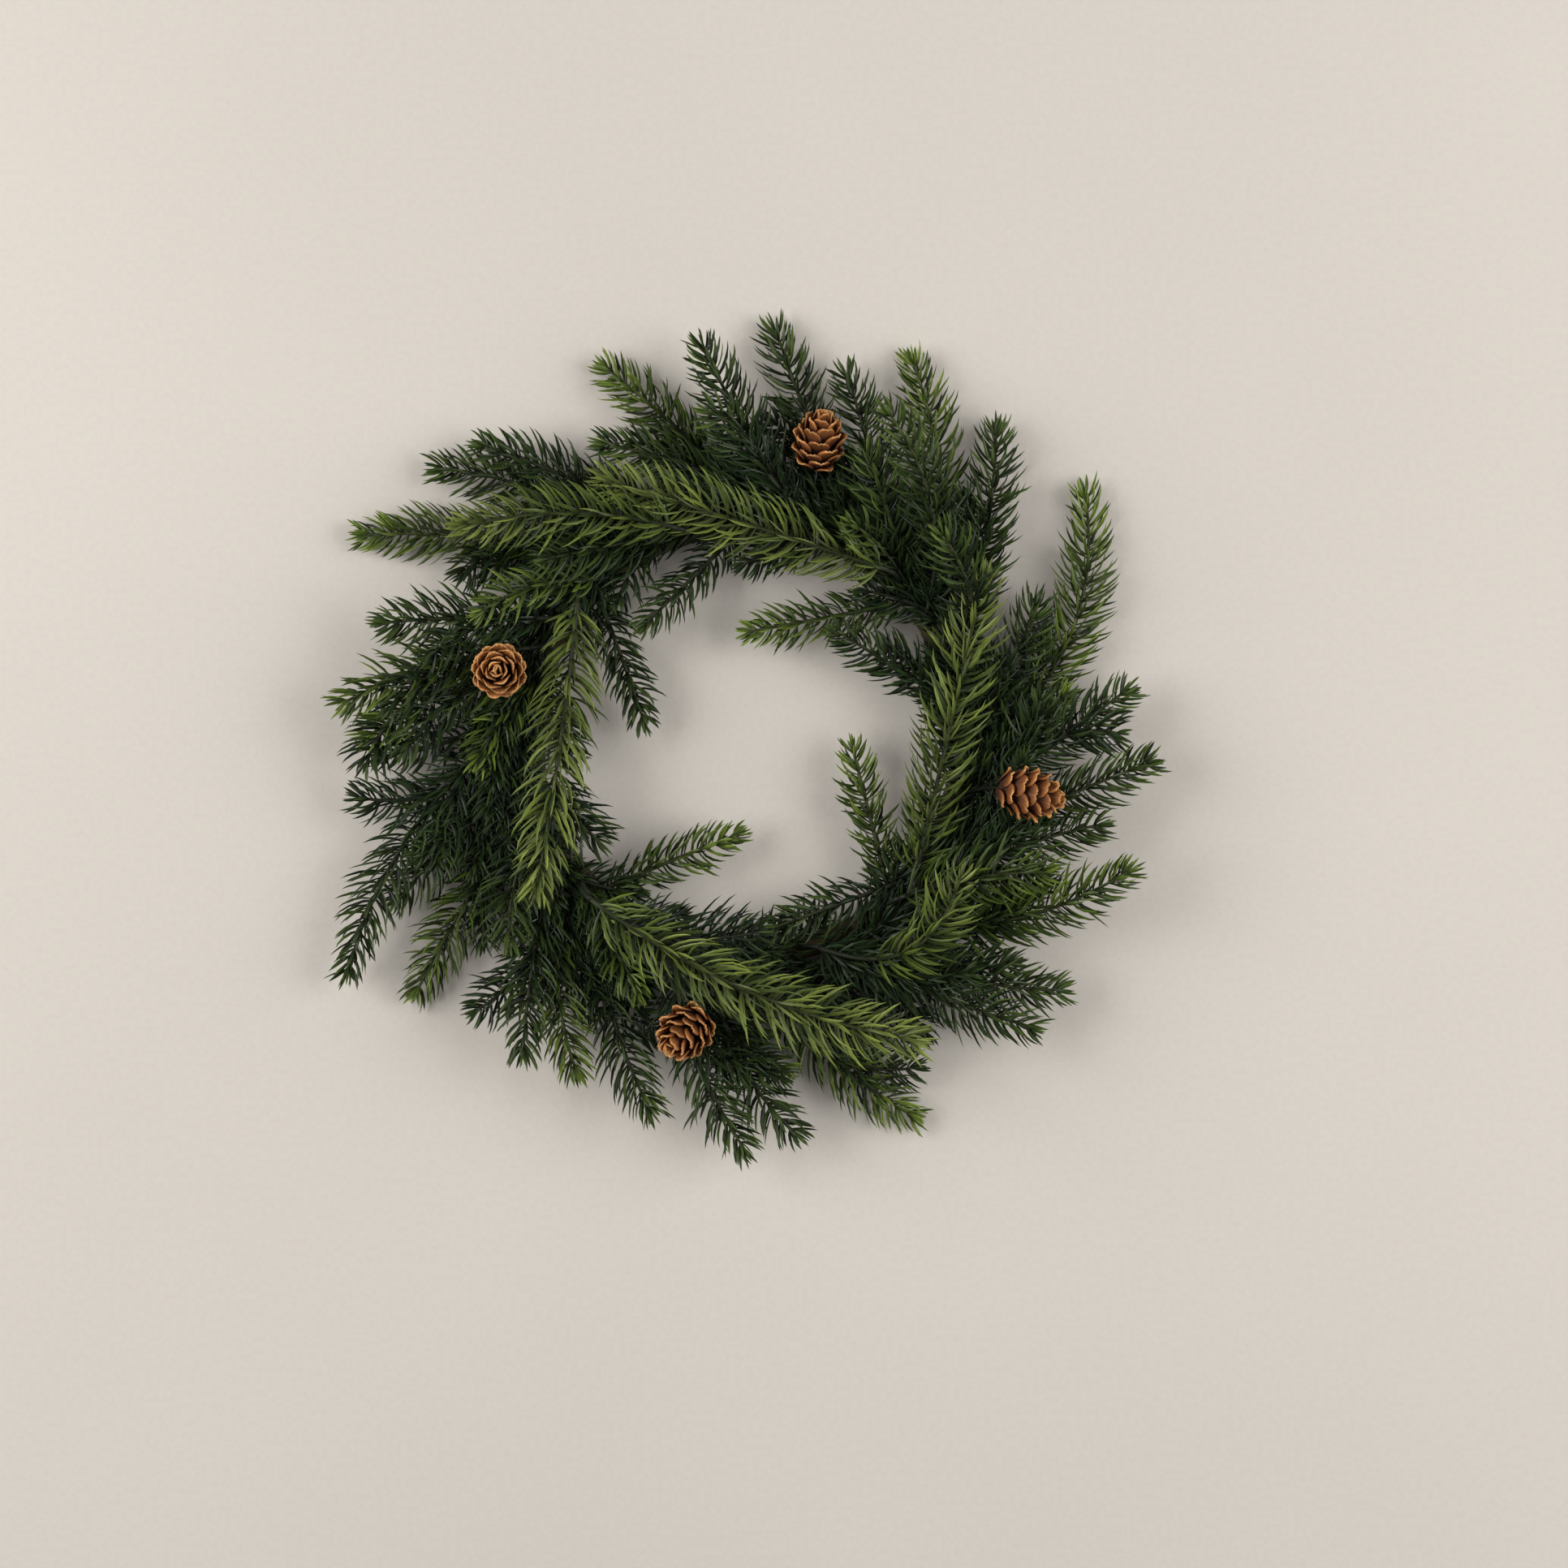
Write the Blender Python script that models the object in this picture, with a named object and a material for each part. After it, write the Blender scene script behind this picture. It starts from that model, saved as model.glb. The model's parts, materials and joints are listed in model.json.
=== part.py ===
"""Artificial spruce candle ring, built flat on the table plane in metres, +Z up.

A wire hoop is sheathed in two arcs of floral tape. Moulded spruce sprigs leave
the hoop all round and swirl anticlockwise seen from above. Four small cones sit
among them. Sprigs are laid one on another the way a florist does: every new one
is lifted just clear of what lies below it.
"""
import math

import bpy
import numpy as np

MM = 0.001

# Hoop of plain wire and the tape sheath round it.
HOOP_RADIUS = 84.0
WIRE_RADIUS = 1.5
WIRE_CLEARANCE = 0.4
TAPE_RADIUS = 5.0
TAPE_SIDES = 10
HOOP_SIDES = 6
HOOP_STEPS = 40
TAPE_ARC_DEG = 178.5
TAPE_STEPS = 20

# Sprig stem, needle comb and tip.
STEM_RADIUS = 1.1
NEEDLE_PITCH = 6.0
NOTCH_HALF_WIDTH = 2.0
NEEDLE_SWEEP = 0.9
TIP_LENGTH = 5.0
STEM_STEP = 14.0
SHORTEST_BARE = 0.08
FEWEST_PAIRS = 4
SPINE_TAPER = 0.3

# Outline of the needles along a sprig, as shares of its half width.
SHOULDER = 0.62
SHOULDER_RUN = 1.4
TAPER_END = 1.15
TAPER_RUN = 0.45
TIP_WIDTH = 0.45

# Laying: cell of the height map, air left between sprigs, search steps.
CELL = 1.5
MAP_HALF = 186.0
MAPPED_TAPE = 3.5
LAY_GAP = 0.45
LAY_STEP = 0.5
LAY_SEARCH = 60.0
TABLE_GAP = 0.6
PATH_SAMPLES = 90
CROSS_SAMPLES = 17
NOSE_SAMPLES = 5
EDGE_THINNING = 0.8
ROOT_LIFT_COST = 1.5
MAP_SPOKES = 1440
MAP_TRACKS = 15

# Where a stem starts on the sheath, by seat: distance from centre and height.
SEAT_GAP = 0.4
SEATS = {
    "outer": (HOOP_RADIUS + TAPE_RADIUS + SEAT_GAP + STEM_RADIUS, 5.0),
    "top": (HOOP_RADIUS + 1.0, 2.0 * TAPE_RADIUS + SEAT_GAP + STEM_RADIUS),
    "inner": (HOOP_RADIUS - 3.0, 2.0 * TAPE_RADIUS + SEAT_GAP + STEM_RADIUS),
}

# Sprig sizes: half width over the needles, half thickness at the spine, arch.
SIZES = {
    "slim": (10.5, 2.2, 1.0),
    "full": (13.0, 2.5, 1.5),
    "grand": (15.5, 3.0, 4.0),
}

# Colour and finish of each material: base colour, roughness, metallic.
PAINTS = {
    "needles_dark": ((0.030, 0.075, 0.038), 0.55, 0.0),
    "needles_mid": ((0.070, 0.135, 0.040), 0.55, 0.0),
    "needles_light": ((0.170, 0.270, 0.070), 0.50, 0.0),
    "floral_tape": ((0.060, 0.055, 0.030), 0.85, 0.0),
    "hoop_wire": ((0.050, 0.075, 0.045), 0.40, 0.6),
    "cone_brown": ((0.260, 0.120, 0.050), 0.70, 0.0),
}

# Each sprig: name, seat, root angle on the hoop in degrees, tip x and y,
# heading at the tip in degrees, length with needles, size, material.
LOW_SPRIGS = [
    ("sprig_low_01", "outer", 51, (39, 142), 108, 64, "full", "needles_dark"),
    ("sprig_low_02", "outer", 65, (11, 160), 110, 82, "full", "needles_dark"),
    ("sprig_low_03", "outer", 78, (-17, 152), 116, 60, "full", "needles_dark"),
    ("sprig_low_04", "top", 68, (-55, 115), 168, 92, "full", "needles_dark"),
    ("sprig_low_05", "outer", 88, (-55, 145), 142, 78, "full", "needles_mid"),
    ("sprig_low_06", "outer", 112, (-103, 114), 164, 70, "full", "needles_dark"),
    ("sprig_low_07", "outer", 121, (-120, 106), 174, 64, "full", "needles_dark"),
    ("sprig_low_08", "outer", 127, (-150, 80), 183, 82, "full", "needles_mid"),
    ("sprig_low_09", "outer", 149, (-140, 45), 185, 64, "full", "needles_dark"),
    ("sprig_low_10", "outer", 157, (-156, 14), 208, 68, "full", "needles_mid"),
    ("sprig_low_11", "outer", 165, (-147, 1), 216, 60, "full", "needles_mid"),
    ("sprig_low_12", "top", 163, (-104, -9), 246, 52, "slim", "needles_light"),
    ("sprig_low_13", "outer", 177, (-155, -90), 255, 98, "full", "needles_dark"),
    ("sprig_low_14", "outer", 187, (-136, -62), 228, 68, "full", "needles_dark"),
    ("sprig_low_15", "outer", 197, (-129, -98), 242, 80, "full", "needles_mid"),
    ("sprig_low_16", "outer", 213, (-86, -120), 267, 60, "full", "needles_dark"),
    ("sprig_low_17", "outer", 219, (-66, -127), 290, 72, "full", "needles_mid"),
    ("sprig_low_18", "outer", 229, (-37, -143), 298, 72, "full", "needles_dark"),
    ("sprig_low_19", "outer", 251, (-1, -158), 303, 64, "full", "needles_dark"),
    ("sprig_low_20", "outer", 260, (18, -152), 315, 56, "full", "needles_dark"),
    ("sprig_low_21", "top", 254, (15, -128), 330, 56, "slim", "needles_light"),
    ("sprig_low_22", "outer", 272, (65, -147), 330, 72, "full", "needles_mid"),
    ("sprig_low_23", "outer", 296, (110, -111), 345, 64, "full", "needles_dark"),
    ("sprig_low_24", "outer", 303, (121, -97), 0, 68, "full", "needles_dark"),
    ("sprig_low_25", "outer", 308, (146, -51), 33, 82, "full", "needles_mid"),
    ("sprig_low_26", "outer", 320, (136, -33), 11, 62, "full", "needles_dark"),
    ("sprig_low_27", "outer", 332, (156, -9), 20, 68, "full", "needles_mid"),
    ("sprig_low_28", "outer", 347, (147, 19), 36, 58, "full", "needles_dark"),
    ("sprig_low_29", "top", 345, (124, 18), 48, 60, "slim", "needles_light"),
    ("sprig_low_30", "outer", 358, (132, 96), 98, 106, "full", "needles_mid"),
    ("sprig_low_31", "outer", 25, (97, 120), 89, 76, "full", "needles_dark"),
    ("sprig_low_32", "outer", 31, (65, 148), 108, 80, "full", "needles_mid"),
]

MID_SPRIGS = [
    ("sprig_mid_01", "top", 2, (112, 53), 74, 46, "full", "needles_dark"),
    ("sprig_mid_02", "inner", 10, (35, 42), 148, 52, "slim", "needles_dark"),
    ("sprig_mid_03", "top", 35, (54, 125), 128, 52, "full", "needles_mid"),
    ("sprig_mid_04", "top", 42, (46, 110), 113, 46, "full", "needles_light"),
    ("sprig_mid_05", "inner", 41, (1, 42), 190, 66, "slim", "needles_light"),
    ("sprig_mid_06", "inner", 92, (-40, 44), 225, 52, "slim", "needles_dark"),
    ("sprig_mid_07", "top", 106, (-78, 69), 192, 58, "full", "needles_dark"),
    ("sprig_mid_08", "top", 133, (-102, 49), 214, 46, "slim", "needles_light"),
    ("sprig_mid_09", "inner", 136, (-40, 7), 288, 56, "slim", "needles_light"),
    ("sprig_mid_10", "top", 200, (-92, -77), 270, 48, "full", "needles_mid"),
    ("sprig_mid_11", "top", 222, (-42, -98), 296, 48, "slim", "needles_light"),
    ("sprig_mid_12", "inner", 226, (-4, -37), 21, 66, "slim", "needles_mid"),
    ("sprig_mid_13", "inner", 317, (10, -73), 200, 54, "slim", "needles_dark"),
    ("sprig_mid_14", "top", 314, (115, -51), 0, 48, "full", "needles_mid"),
    ("sprig_mid_15", "inner", 313, (41, -3), 104, 58, "slim", "needles_light"),
]

TOP_SPRIGS = [
    ("sprig_top_01", "top", 289, (82, -53), 74, 48, "full", "needles_light"),
    ("sprig_top_02", "top", 226, (65, -115), 350, 124, "grand", "needles_light"),
    ("sprig_top_03", "top", 140, (-81, -58), 259, 108, "grand", "needles_light"),
    ("sprig_top_04", "top", 108, (-110, 81), 195, 70, "full", "needles_light"),
    ("sprig_top_05", "top", 50, (-55, 100), 163, 104, "grand", "needles_light"),
    ("sprig_top_06", "top", 320, (92, 64), 77, 112, "grand", "needles_light"),
]

ELBOW = 5.0
STEM_RISE = 14.0
CONE_SEAT = 18.0

# Nominal rise from root to tip of the sprigs in each layer.
LEAN = {"low": 0.0, "mid": 1.0, "top": -2.0}

# Each cone: name, root angle on the hoop, middle x and y, pointing direction.
CONE_LENGTH = 25.0
CONE_RADIUS = 11.0
CONE_TIERS = 5
CONE_SIDES = 12
CONE_BELLY = (0.22, 0.70, 0.7)
CONE_CORE = 0.5
SCALE_NOTCH = 0.74
SCALE_OVERLAP = 1.15
APEX_SHARE = 0.6
CONE_SAMPLES = 12
STEM_SAMPLES = 40
STEM_RINGS = 4
CONES = [
    ("cone_back", 79, (28, 115.5), (0.15, 0.75, 0.65)),
    ("cone_left", 160, (-94.5, 26), (0.0, 0.0, 1.0)),
    ("cone_right", 345, (109, -21), (0.93, -0.20, 0.30)),
    ("cone_front", 252, (-23.5, -112), (-0.50, -0.45, 0.74)),
]


def clear_scene():
    for old in list(bpy.data.objects):
        bpy.data.objects.remove(old)


def paint(name):
    colour, roughness, metallic = PAINTS[name]
    material = bpy.data.materials.get(name)
    if material is None:
        material = bpy.data.materials.new(name)
        material.use_nodes = True
        shader = material.node_tree.nodes["Principled BSDF"]
        shader.inputs["Base Color"].default_value = (*colour, 1.0)
        shader.inputs["Roughness"].default_value = roughness
        shader.inputs["Metallic"].default_value = metallic
    return material


def add_body(name, points, faces, material):
    """One closed body from points in millimetres."""
    mesh = bpy.data.meshes.new(name)
    verts = [tuple(float(c) * MM for c in p) for p in points]
    mesh.from_pydata(verts, [], faces)
    mesh.validate()
    mesh.materials.append(paint(material))
    body = bpy.data.objects.new(name, mesh)
    bpy.context.scene.collection.objects.link(body)
    return body


def turn(deg):
    return np.array([math.cos(math.radians(deg)), math.sin(math.radians(deg))])


def ring_section(radius, sides, start_deg):
    """Section of a tube round the hoop: sideways and upward offsets."""
    return [radius * turn(start_deg + 360.0 * k / sides) for k in range(sides)]


def add_hoop():
    section = ring_section(WIRE_RADIUS, HOOP_SIDES, 0.0)
    points = []
    for step in range(HOOP_STEPS):
        out = turn(360.0 * step / HOOP_STEPS)
        for side, up in section:
            points.append((*(out * (HOOP_RADIUS + side)), TAPE_RADIUS + up))
    faces = []
    for step in range(HOOP_STEPS):
        here = step * HOOP_SIDES
        there = (step + 1) % HOOP_STEPS * HOOP_SIDES
        for k in range(HOOP_SIDES):
            n = (k + 1) % HOOP_SIDES
            faces.append((here + k, there + k, there + n, here + n))
    add_body("hoop", points, faces, "hoop_wire")


def add_tape(name, start_deg):
    """An open sleeve over half the hoop, its lowest facet flat on the table."""
    half_facet = 180.0 / TAPE_SIDES
    flat_radius = TAPE_RADIUS / math.cos(math.radians(half_facet))
    outer = ring_section(flat_radius, TAPE_SIDES, 270.0 - half_facet)
    bore = WIRE_RADIUS + WIRE_CLEARANCE
    bore_radius = bore / math.cos(math.radians(half_facet))
    inner = ring_section(bore_radius, TAPE_SIDES, 270.0 - half_facet)
    section = outer + inner
    count = len(section)
    points = []
    for step in range(TAPE_STEPS + 1):
        out = turn(start_deg + TAPE_ARC_DEG * step / TAPE_STEPS)
        for side, up in section:
            points.append((*(out * (HOOP_RADIUS + side)), TAPE_RADIUS + up))
    faces = []
    for step in range(TAPE_STEPS):
        here = step * count
        there = here + count
        for k in range(TAPE_SIDES):
            n = (k + 1) % TAPE_SIDES
            a = TAPE_SIDES + k
            b = TAPE_SIDES + n
            faces.append((here + k, there + k, there + n, here + n))
            faces.append((here + a, here + b, there + b, there + a))
    last = TAPE_STEPS * count
    for k in range(TAPE_SIDES):
        n = (k + 1) % TAPE_SIDES
        a = TAPE_SIDES + k
        b = TAPE_SIDES + n
        faces.append((k, n, b, a))
        faces.append((last + k, last + a, last + b, last + n))
    add_body(name, points, faces, "floral_tape")


class HeightMap:
    """The top of everything laid so far, in cells of the table plane."""

    def __init__(self):
        self.size = int(2 * MAP_HALF / CELL)
        self.top = np.zeros((self.size, self.size))
        steps = np.linspace(0.0, 360.0, MAP_SPOKES)
        for side in np.linspace(-MAPPED_TAPE, MAPPED_TAPE, MAP_TRACKS):
            rise = math.sqrt(TAPE_RADIUS**2 - side**2)
            for deg in steps:
                spot = turn(deg) * (HOOP_RADIUS + side)
                self.raise_to(spot[None, :], np.array([TAPE_RADIUS + rise]))

    def cells(self, spots):
        index = np.floor((spots + MAP_HALF) / CELL).astype(int)
        index = np.clip(index, 0, self.size - 1)
        return index[..., 0], index[..., 1]

    def read(self, spots):
        return self.top[self.cells(spots)]

    def raise_to(self, spots, heights):
        i, j = self.cells(spots)
        np.maximum.at(self.top, (i, j), heights)


def curve_point(root, bend, tip, t):
    t = np.asarray(t)[..., None]
    return (1 - t) ** 2 * root + 2 * t * (1 - t) * bend + t**2 * tip


def curve_along(root, bend, tip, t):
    t = np.asarray(t)[..., None]
    step = 2 * (1 - t) * (bend - root) + 2 * t * (tip - bend)
    return step / np.linalg.norm(step, axis=-1, keepdims=True)


class Sprig:
    def __init__(self, row):
        self.name, seat, root_deg, tip, heading, leafy, size, self.material = row
        radius, self.seat_height = SEATS[seat]
        self.root = turn(root_deg) * radius
        self.tip = np.array(tip, float)
        self.half_width, self.thick, self.arch = SIZES[size]
        chord = self.tip - self.root
        self.length = float(np.linalg.norm(chord))
        turned = math.radians(heading) - math.atan2(chord[1], chord[0])
        turned = (turned + math.pi) % (2 * math.pi) - math.pi
        right = np.array([chord[1], -chord[0]]) / self.length
        self.bend = self.root + chord / 2 + right * self.length / 2 * math.tan(turned)
        self.bare = max(SHORTEST_BARE, 1.0 - leafy / self.length)
        self.low = self.seat_height
        self.high = self.seat_height

    def width(self, t):
        """Half width over the needles at t, narrow at both ends."""
        u = np.clip((np.asarray(t) - self.bare) / (1.0 - self.bare), 0.0, 1.0)
        risen = np.sin(np.pi * np.minimum(u * SHOULDER_RUN, 1.0) / 2)
        swell = SHOULDER + (1 - SHOULDER) * risen
        taper = np.clip((TAPER_END - u) / TAPER_RUN, 0.0, 1.0)
        return self.half_width * swell * (TIP_WIDTH + (1 - TIP_WIDTH) * taper)

    def height(self, t):
        t = np.asarray(t)
        return self.low * (1 - t) + self.high * t + self.arch * 4 * t * (1 - t)

    def footprint(self):
        """Sample spots on the plan, with half thickness, for laying."""
        t = np.linspace(0.0, 1.0, PATH_SAMPLES)
        spot = curve_point(self.root, self.bend, self.tip, t)
        along = curve_along(self.root, self.bend, self.tip, t)
        side = np.stack([-along[:, 1], along[:, 0]], axis=1)
        leafy = t > self.bare - t[1]
        reach = np.where(leafy, self.width(t), STEM_RADIUS)
        thick = np.where(leafy, self.thick, STEM_RADIUS)
        lead = np.where(leafy, NEEDLE_SWEEP * reach, 0.0)
        lead[-1] = TIP_LENGTH
        spots = []
        halves = []
        times = []
        for u in np.linspace(-1.0, 1.0, CROSS_SAMPLES):
            forward = along * (abs(u) * lead)[:, None]
            spots.append(spot + side * (u * reach)[:, None] + forward)
            halves.append(thick * (1.0 - EDGE_THINNING * abs(u)))
            times.append(np.minimum(t + abs(u) * lead / self.length, 1.0))
        nose = np.linspace(0.0, TIP_LENGTH, NOSE_SAMPLES)
        spots.append(self.tip + along[-1] * nose[:, None])
        halves.append(np.full(NOSE_SAMPLES, self.thick))
        times.append(np.ones(NOSE_SAMPLES))
        return np.concatenate(spots), np.concatenate(halves), np.concatenate(times)

    def lay(self, heights, lean):
        spots, halves, times = self.footprint()
        need = heights.read(spots) + LAY_GAP + halves
        need = np.maximum(need, TABLE_GAP + halves)
        need = need - self.arch * 4 * times * (1 - times)
        best = None
        free = times > 0.0
        for lift in np.arange(0.0, LAY_SEARCH, LAY_STEP):
            low = self.seat_height + lift
            if np.any(need[~free] > low):
                continue
            wanted = (need[free] - low * (1 - times[free])) / times[free]
            high = max(float(np.max(wanted)), low + lean)
            cost = ROOT_LIFT_COST * lift + (high - low - lean)
            if best is None or cost < best[0]:
                best = (cost, low, high)
        _, self.low, self.high = best
        heights.raise_to(spots, self.height(times) + halves)

    def build(self):
        """Closed comb: a spine with swept flat needles down both sides."""
        bare_steps = max(1, round(self.bare * self.length / STEM_STEP))
        pairs = round((1 - self.bare) * self.length / NEEDLE_PITCH)
        pairs = max(FEWEST_PAIRS, pairs)
        stem = list(np.linspace(0.0, self.bare, bare_steps + 1))
        leafy = list(np.linspace(self.bare, 1.0, pairs + 1))[1:]
        stations = np.array(stem + leafy)
        spot = curve_point(self.root, self.bend, self.tip, stations)
        along = curve_along(self.root, self.bend, self.tip, stations)
        side = np.stack([-along[:, 1], along[:, 0]], axis=1)
        level = self.height(stations)
        points = []
        for k in range(len(stations)):
            on_stem = k < bare_steps
            spine = self.thick * (1.0 - SPINE_TAPER * stations[k])
            thick = STEM_RADIUS if on_stem else spine
            wide = STEM_RADIUS if on_stem else NOTCH_HALF_WIDTH
            left = spot[k] + side[k] * wide
            right = spot[k] - side[k] * wide
            points.append((*spot[k], level[k] + thick))
            points.append((*left, level[k]))
            points.append((*spot[k], level[k] - thick))
            points.append((*right, level[k]))
        faces = [(0, 1, 2, 3)]
        for k in range(len(stations) - 1):
            top, left, low, right = (4 * k + n for n in range(4))
            top_b, left_b, low_b, right_b = (4 * k + 4 + n for n in range(4))
            if k < bare_steps:
                faces.append((top, top_b, left_b, left))
                faces.append((left, left_b, low_b, low))
                faces.append((low, low_b, right_b, right))
                faces.append((right, right_b, top_b, top))
                continue
            reach = float(self.width(stations[k]))
            lead = NEEDLE_SWEEP * reach
            later = stations[k] + (stations[k + 1] - stations[k]) * lead / NEEDLE_PITCH
            rise = float(self.height(min(later, 1.0)))
            ahead = spot[k] + along[k] * lead
            points.append((*(ahead + side[k] * reach), rise))
            points.append((*(ahead - side[k] * reach), rise))
            left_tip = len(points) - 2
            right_tip = len(points) - 1
            faces.append((top, left_tip, left))
            faces.append((top, left_b, left_tip))
            faces.append((top, top_b, left_b))
            faces.append((low, left, left_tip))
            faces.append((low, left_tip, left_b))
            faces.append((low, left_b, low_b))
            faces.append((top, right, right_tip))
            faces.append((top, right_tip, right_b))
            faces.append((top, right_b, top_b))
            faces.append((low, right_tip, right))
            faces.append((low, right_b, right_tip))
            faces.append((low, low_b, right_b))
        nose = self.tip + along[-1] * TIP_LENGTH
        points.append((*nose, level[-1]))
        end = len(points) - 1
        last = 4 * (len(stations) - 1)
        for k in range(4):
            faces.append((last + k, end, last + (k + 1) % 4))
        return points, faces


class Cone:
    """A small open cone on a wire stem, its scales in scalloped tiers."""

    def __init__(self, row):
        self.name, root_deg, middle, axis = row
        radius, seat = SEATS["top"]
        self.root = np.array([*(turn(root_deg) * radius), seat])
        self.middle = np.array([*middle, 0.0], float)
        self.axis = np.array(axis, float) / np.linalg.norm(axis)
        helper = np.array([0.0, 1.0, 0.0])
        if abs(self.axis[1]) > 0.6:
            helper = np.array([1.0, 0.0, 0.0])
        self.one = np.cross(helper, self.axis)
        self.one /= np.linalg.norm(self.one)
        self.two = np.cross(self.axis, self.one)

    def reach(self, s):
        """Radius of the cone's outline at s, from stem end to apex."""
        start, span, power = CONE_BELLY
        return CONE_RADIUS * np.sin(np.pi * (start + span * s)) ** power

    def stem_path(self, middle):
        base = middle - self.axis * CONE_LENGTH / 2
        elbow = base - self.axis * ELBOW
        return self.root, elbow, base

    def lay(self, heights):
        points = []
        for s in np.linspace(0.0, 1.0, CONE_SAMPLES):
            for fill in (0.25, 0.5, 0.75, 1.0):
                for deg in range(0, 360, 12):
                    aside = turn(deg) * self.reach(s) * fill
                    spoke = self.one * aside[0] + self.two * aside[1]
                    spot = self.axis * (s - 0.5) * CONE_LENGTH + spoke
                    points.append(self.middle + spot)
        points = np.array(points)
        need = heights.read(points[:, :2]) + LAY_GAP - points[:, 2]
        self.middle[2] = max(float(np.max(need)), CONE_SEAT)
        path = self.clear_stem(heights)
        while path is None:
            self.middle[2] += LAY_STEP
            path = self.clear_stem(heights)
        heights.raise_to(points[:, :2], points[:, 2] + self.middle[2])
        heights.raise_to(path[:, :2], path[:, 2] + STEM_RADIUS)

    def clear_stem(self, heights):
        """Stem path over what is laid, its root as low as that allows."""
        t = np.linspace(0.0, 1.0, STEM_SAMPLES)
        seat = SEATS["top"][1]
        for rise in np.arange(0.0, STEM_RISE, LAY_STEP):
            self.root[2] = seat + rise
            path = curve_point(*self.stem_path(self.middle), t)
            air = path[:, 2] - STEM_RADIUS - LAY_GAP - heights.read(path[:, :2])
            if np.min(air) >= 0.0:
                return path
        return None

    def ring(self, centre, one, two, radii, start_deg):
        ring = []
        for k in range(CONE_SIDES):
            aside = turn(start_deg + 360.0 * k / CONE_SIDES) * radii[k % 2]
            ring.append(centre + one * aside[0] + two * aside[1])
        return ring

    def build(self):
        root, elbow, base = self.stem_path(self.middle)
        t = np.linspace(0.0, 1.0, STEM_RINGS + 1)[:-1]
        spot = curve_point(root, elbow, base, t)
        along = curve_along(root, elbow, base, t)
        rings = []
        for centre, ahead in zip(spot, along):
            one = self.one - ahead * np.dot(self.one, ahead)
            one /= np.linalg.norm(one)
            two = np.cross(ahead, one)
            rings.append(self.ring(centre, one, two, (STEM_RADIUS, STEM_RADIUS), 0.0))
        pitch = CONE_LENGTH / (CONE_TIERS + APEX_SHARE)
        for tier in range(CONE_TIERS):
            start = base + self.axis * pitch * tier
            rim = base + self.axis * pitch * (tier + SCALE_OVERLAP)
            wide = float(self.reach((tier + 0.5) / CONE_TIERS))
            core = CONE_CORE * wide if tier else STEM_RADIUS
            rings.append(self.ring(start, self.one, self.two, (core, core), 0.0))
            notch = SCALE_NOTCH * wide
            lobes = (wide, notch) if tier % 2 else (notch, wide)
            rings.append(self.ring(rim, self.one, self.two, lobes, 0.0))
        points = [p for ring in rings for p in ring]
        faces = [tuple(reversed(range(CONE_SIDES)))]
        for r in range(len(rings) - 1):
            here = r * CONE_SIDES
            for k in range(CONE_SIDES):
                n = (k + 1) % CONE_SIDES
                a = here + k
                b = here + n
                faces.append((a, b, b + CONE_SIDES))
                faces.append((a, b + CONE_SIDES, a + CONE_SIDES))
        apex = base + self.axis * CONE_LENGTH
        last = (len(rings) - 1) * CONE_SIDES
        points.append(apex)
        for k in range(CONE_SIDES):
            faces.append((last + k, last + (k + 1) % CONE_SIDES, len(points) - 1))
        return points, faces


def main():
    clear_scene()
    add_hoop()
    add_tape("tape_wrap_a", 96.0)
    add_tape("tape_wrap_b", 276.0)
    heights = HeightMap()
    laid = [Sprig(row) for row in reversed(LOW_SPRIGS)]
    for sprig in laid:
        sprig.lay(heights, LEAN["low"])
    cones = [Cone(row) for row in CONES]
    for cone in cones:
        cone.lay(heights)
    for rows, lean in ((MID_SPRIGS, LEAN["mid"]), (TOP_SPRIGS, LEAN["top"])):
        for row in reversed(rows):
            sprig = Sprig(row)
            sprig.lay(heights, lean)
            laid.append(sprig)
    for sprig in laid:
        points, faces = sprig.build()
        add_body(sprig.name, points, faces, sprig.material)
    for cone in cones:
        points, faces = cone.build()
        add_body(cone.name, points, faces, "cone_brown")


main()
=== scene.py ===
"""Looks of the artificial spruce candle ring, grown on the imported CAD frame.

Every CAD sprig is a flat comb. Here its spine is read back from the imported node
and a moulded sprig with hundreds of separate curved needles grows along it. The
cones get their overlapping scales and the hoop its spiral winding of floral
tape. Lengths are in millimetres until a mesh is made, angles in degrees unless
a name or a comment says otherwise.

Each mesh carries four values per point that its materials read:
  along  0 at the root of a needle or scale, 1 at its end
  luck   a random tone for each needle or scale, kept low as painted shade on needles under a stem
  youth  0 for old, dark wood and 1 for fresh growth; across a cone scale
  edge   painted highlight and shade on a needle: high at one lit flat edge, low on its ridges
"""

import json
import math

import bpy
import numpy as np
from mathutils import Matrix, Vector


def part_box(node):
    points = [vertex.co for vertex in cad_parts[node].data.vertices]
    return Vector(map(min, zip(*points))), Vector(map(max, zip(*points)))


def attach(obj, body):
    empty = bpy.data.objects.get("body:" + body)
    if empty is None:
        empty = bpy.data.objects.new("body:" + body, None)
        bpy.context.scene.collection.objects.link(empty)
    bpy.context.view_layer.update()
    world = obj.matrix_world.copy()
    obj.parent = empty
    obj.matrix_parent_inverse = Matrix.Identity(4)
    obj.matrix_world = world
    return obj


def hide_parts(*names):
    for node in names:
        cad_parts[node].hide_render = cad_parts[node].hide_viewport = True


MM = 0.001
SEED = 20
UP = np.array([0.0, 0.0, 1.0])

# Camera: straight down. The width and the middle of what it sees are measured
# at the height of the sprigs.
LENS = 85.0
SENSOR = 36.0
VIEW_WIDTH = 603.75
VIEW_MIDDLE = (14.4, -17.2)
MIDDLE_HEIGHT = 25.0
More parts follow.
